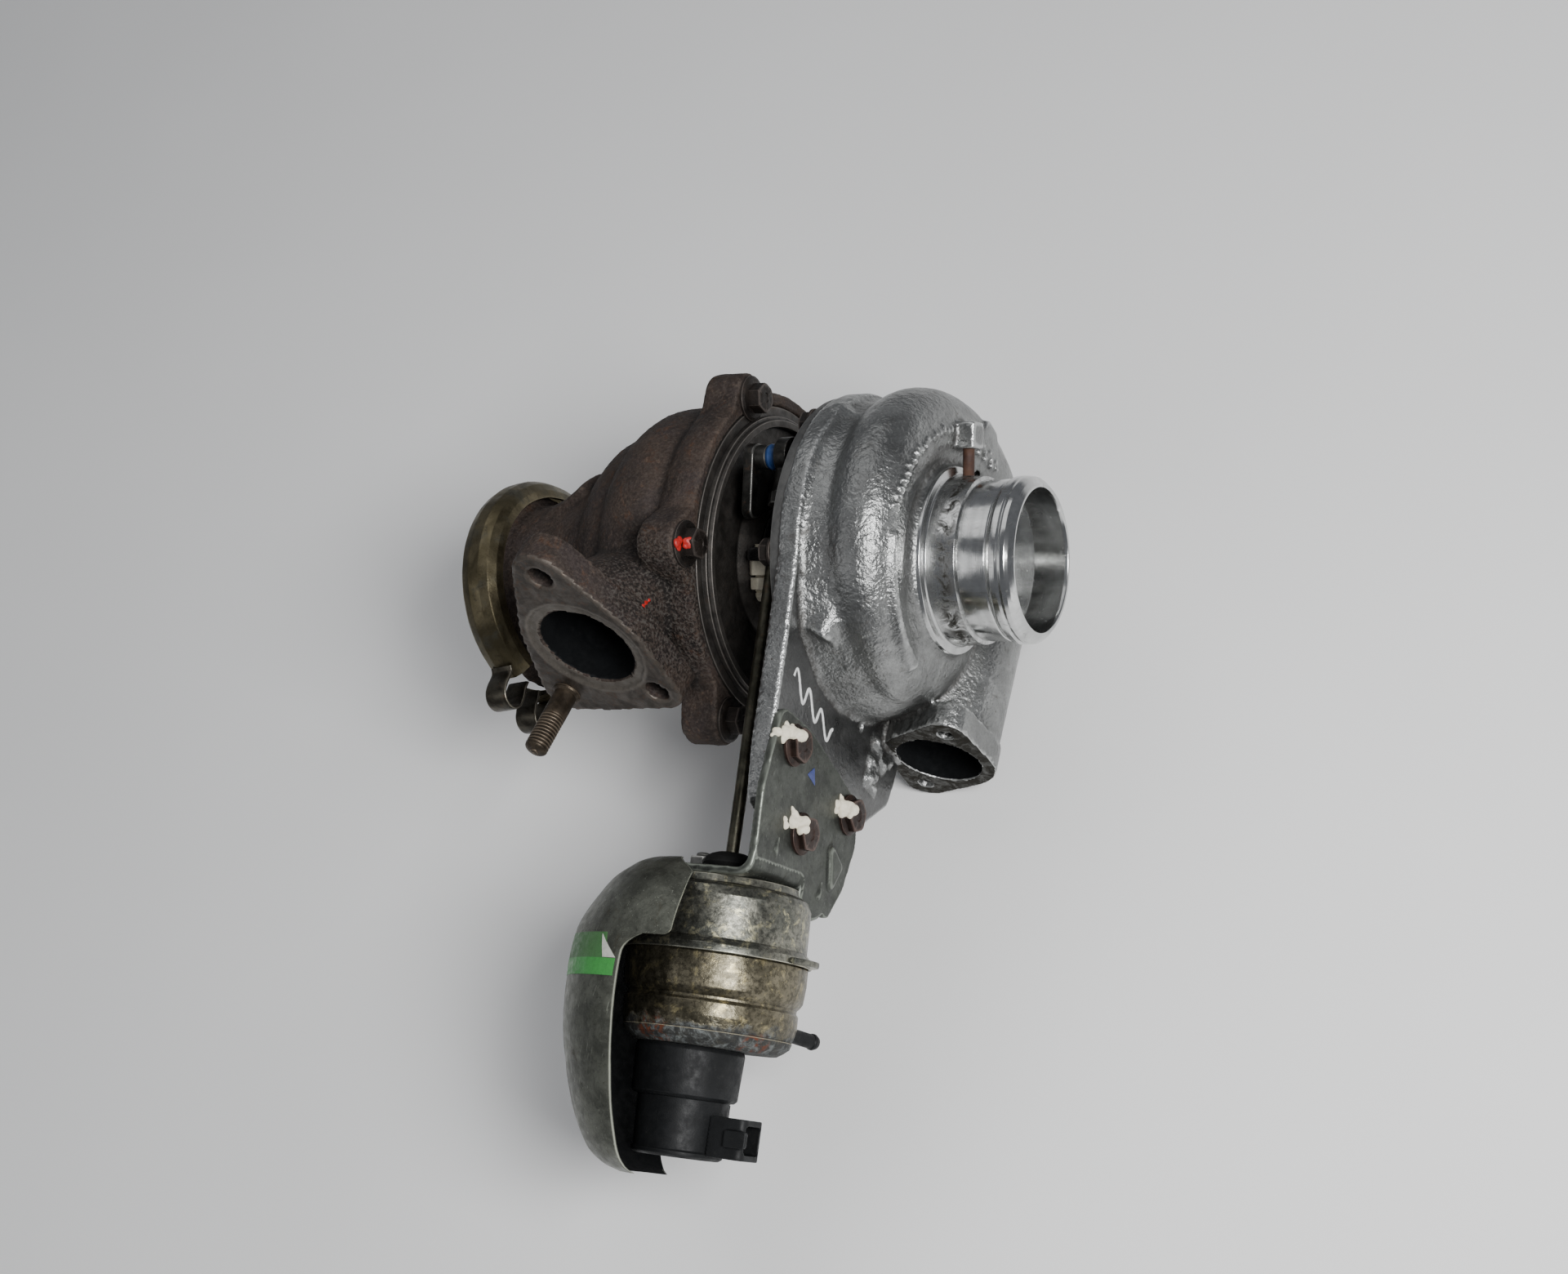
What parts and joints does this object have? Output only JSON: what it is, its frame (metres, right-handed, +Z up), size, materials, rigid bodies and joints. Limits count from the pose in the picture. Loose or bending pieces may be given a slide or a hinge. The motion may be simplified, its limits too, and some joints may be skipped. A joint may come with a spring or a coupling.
{
  "type": "turbocharger",
  "caption": "Turbocharger with variable nozzle vanes, moved through a crank and rod by a vacuum actuator with a position sensor and a heat shield.",
  "frame": {"origin": "centre of the compressor inlet's mouth", "axes": "+X along the rotor shaft, out of the compressor inlet; -Y the side of the compressor outlet, the manifold flange and the actuator; +Z up"},
  "size_m": [0.2037, 0.272, 0.1617],
  "materials": {
    "backplate_alloy": "machined, dull",
    "bearing_brass": "bored and turned",
    "black_plastic": "fine moulded texture",
    "black_rubber": "matt",
    "bolt_steel": "dark with brown rust",
    "bracket_zinc": "dull galvanised sheet",
    "can_zinc": "yellow-grey plated sheet",
    "cast_aluminium": "rough cast, turned bright at the inlet",
    "centre_cast_iron": "dark cast with oily dirt",
    "clamp_steel": "heat tinted bronze",
    "clip_blue": "moulded",
    "inlet_pin_steel": "brown surface rust",
    "magnet_dark": "sintered",
    "nipple_black": "moulded",
    "nozzle_steel": "dull, sooty",
    "ring_steel": "ground",
    "rod_steel": "dark plated",
    "rotor_steel": "ground",
    "shield_steel": "dull grey-green sheet",
    "spring_steel": "oiled",
    "stop_paint": "cream marking paint over steel",
    "stud_steel": "brown, bright tip",
    "turbine_alloy": "cast, heat darkened",
    "turbine_cast_iron": "rough, brown rust",
    "wheel_alloy": "fine machined"
  },
  "bodies": {
    "housing": {"actuator_bracket": "bracket_zinc", "actuator_lower_can": "can_zinc", "actuator_nuts": "bracket_zinc", "actuator_spring": "spring_steel", "actuator_upper_can": "can_zinc", "backplate_seal": "black_rubber", "bearing_housing": "centre_cast_iron", "bracket_bolts": "bolt_steel", "compressor_backplate": "backplate_alloy", "compressor_bolts": "bolt_steel", "compressor_housing": "cast_aluminium", "compressor_piston_ring": "ring_steel", "crank_bush": "bearing_brass", "diaphragm": "black_rubber", "heat_shield": "shield_steel", "heat_shroud": "nozzle_steel", "inlet_boss_pin": "inlet_pin_steel", "journal_bearing": "bearing_brass", "manifold_stud": "stud_steel", "nozzle_ring": "nozzle_steel", "outlet_clamp": "clamp_steel", "outlet_clamp_eyes": "clamp_steel", "rod_boot": "black_rubber", "rod_bush": "bearing_brass", "sensor_housing": "black_plastic", "sensor_socket": "black_plastic", "sensor_terminals": "bearing_brass", "stop_screw": "stop_paint", "stop_screw_nut": "stop_paint", "thrust_bearing": "bearing_brass", "turbine_bolts": "bolt_steel", "turbine_housing": "turbine_cast_iron", "turbine_piston_ring": "ring_steel", "vacuum_nipple": "nipple_black"},
    "rotor": {"shaft": "rotor_steel", "turbine_wheel": "turbine_alloy", "compressor_wheel": "wheel_alloy", "compressor_nut": "rotor_steel", "thrust_collar": "rotor_steel", "oil_flinger": "rotor_steel"},
    "rod": {"actuator_rod": "rod_steel", "rod_eye": "rod_steel", "rod_lock_nut": "rod_steel", "piston_plate": "can_zinc", "sensor_magnet": "magnet_dark"},
    "crank": {"crank_arm": "rod_steel", "lever_pin": "rod_steel", "pin_clip": "clip_blue", "crank_shaft": "rod_steel"},
    "unison": {"unison_ring": "nozzle_steel"},
    "vane_1": {"vane_1": "nozzle_steel"},
    "vane_2": {"vane_2": "nozzle_steel"},
    "vane_3": {"vane_3": "nozzle_steel"},
    "vane_4": {"vane_4": "nozzle_steel"},
    "vane_5": {"vane_5": "nozzle_steel"},
    "vane_6": {"vane_6": "nozzle_steel"},
    "vane_7": {"vane_7": "nozzle_steel"},
    "vane_8": {"vane_8": "nozzle_steel"},
    "vane_9": {"vane_9": "nozzle_steel"}
  },
  "joints": [
    {"name": "rotor_spin", "type": "hinge", "parent": "housing", "child": "rotor", "pos_m": [-0.08, 0, 0], "axis": [1, 0, 0], "continuous": true},
    {"name": "actuator_stroke", "type": "slide", "parent": "housing", "child": "rod", "axis": [0, -0.9673, -0.2538], "range_m": [0, 0.009], "stiffness_N_per_m": 2000, "springref_m": -0.008, "deforming": ["actuator_spring", "diaphragm"]},
    {"name": "crank_turn", "type": "hinge", "parent": "housing", "child": "crank", "pos_m": [-0.088, 0.01306, 0.02701], "axis": [1, 0, 0], "range_deg": [0, 32.8]},
    {"name": "unison_turn", "type": "hinge", "parent": "housing", "child": "unison", "pos_m": [-0.1026, 0, 0], "axis": [1, 0, 0], "range_deg": [0, 6.95]},
    {"name": "vane_1_turn", "type": "hinge", "parent": "housing", "child": "vane_1", "pos_m": [-0.106, 0.00303, 0.02985], "axis": [1, 0, 0], "range_deg": [0, 32.8]},
    {"name": "vane_2_turn", "type": "hinge", "parent": "housing", "child": "vane_2", "pos_m": [-0.106, -0.01686, 0.02481], "axis": [1, 0, 0], "range_deg": [0, 32.8]},
    {"name": "vane_3_turn", "type": "hinge", "parent": "housing", "child": "vane_3", "pos_m": [-0.106, -0.02887, 0.00817], "axis": [1, 0, 0], "range_deg": [0, 32.8]},
    {"name": "vane_4_turn", "type": "hinge", "parent": "housing", "child": "vane_4", "pos_m": [-0.106, -0.02736, -0.0123], "axis": [1, 0, 0], "range_deg": [0, 32.8]},
    {"name": "vane_5_turn", "type": "hinge", "parent": "housing", "child": "vane_5", "pos_m": [-0.106, -0.01306, -0.02701], "axis": [1, 0, 0], "range_deg": [0, 32.8]},
    {"name": "vane_6_turn", "type": "hinge", "parent": "housing", "child": "vane_6", "pos_m": [-0.106, 0.00736, -0.02908], "axis": [1, 0, 0], "range_deg": [0, 32.8]},
    {"name": "vane_7_turn", "type": "hinge", "parent": "housing", "child": "vane_7", "pos_m": [-0.106, 0.02433, -0.01755], "axis": [1, 0, 0], "range_deg": [0, 32.8]},
    {"name": "vane_8_turn", "type": "hinge", "parent": "housing", "child": "vane_8", "pos_m": [-0.106, 0.02992, 0.0022], "axis": [1, 0, 0], "range_deg": [0, 32.8]},
    {"name": "vane_9_turn", "type": "hinge", "parent": "housing", "child": "vane_9", "pos_m": [-0.106, 0.02151, 0.02091], "axis": [1, 0, 0], "range_deg": [0, 32.8]}
  ],
  "couplings": [
    {"joint": "crank_turn", "follows": "actuator_stroke", "rad_per_m": 63.355},
    {"joint": "unison_turn", "follows": "actuator_stroke", "rad_per_m": 13.338},
    {"joint": "vane_1_turn", "follows": "actuator_stroke", "rad_per_m": 63.355},
    {"joint": "vane_2_turn", "follows": "actuator_stroke", "rad_per_m": 63.355},
    {"joint": "vane_3_turn", "follows": "actuator_stroke", "rad_per_m": 63.355},
    {"joint": "vane_4_turn", "follows": "actuator_stroke", "rad_per_m": 63.355},
    {"joint": "vane_5_turn", "follows": "actuator_stroke", "rad_per_m": 63.355},
    {"joint": "vane_6_turn", "follows": "actuator_stroke", "rad_per_m": 63.355},
    {"joint": "vane_7_turn", "follows": "actuator_stroke", "rad_per_m": 63.355},
    {"joint": "vane_8_turn", "follows": "actuator_stroke", "rad_per_m": 63.355},
    {"joint": "vane_9_turn", "follows": "actuator_stroke", "rad_per_m": 63.355}
  ]
}
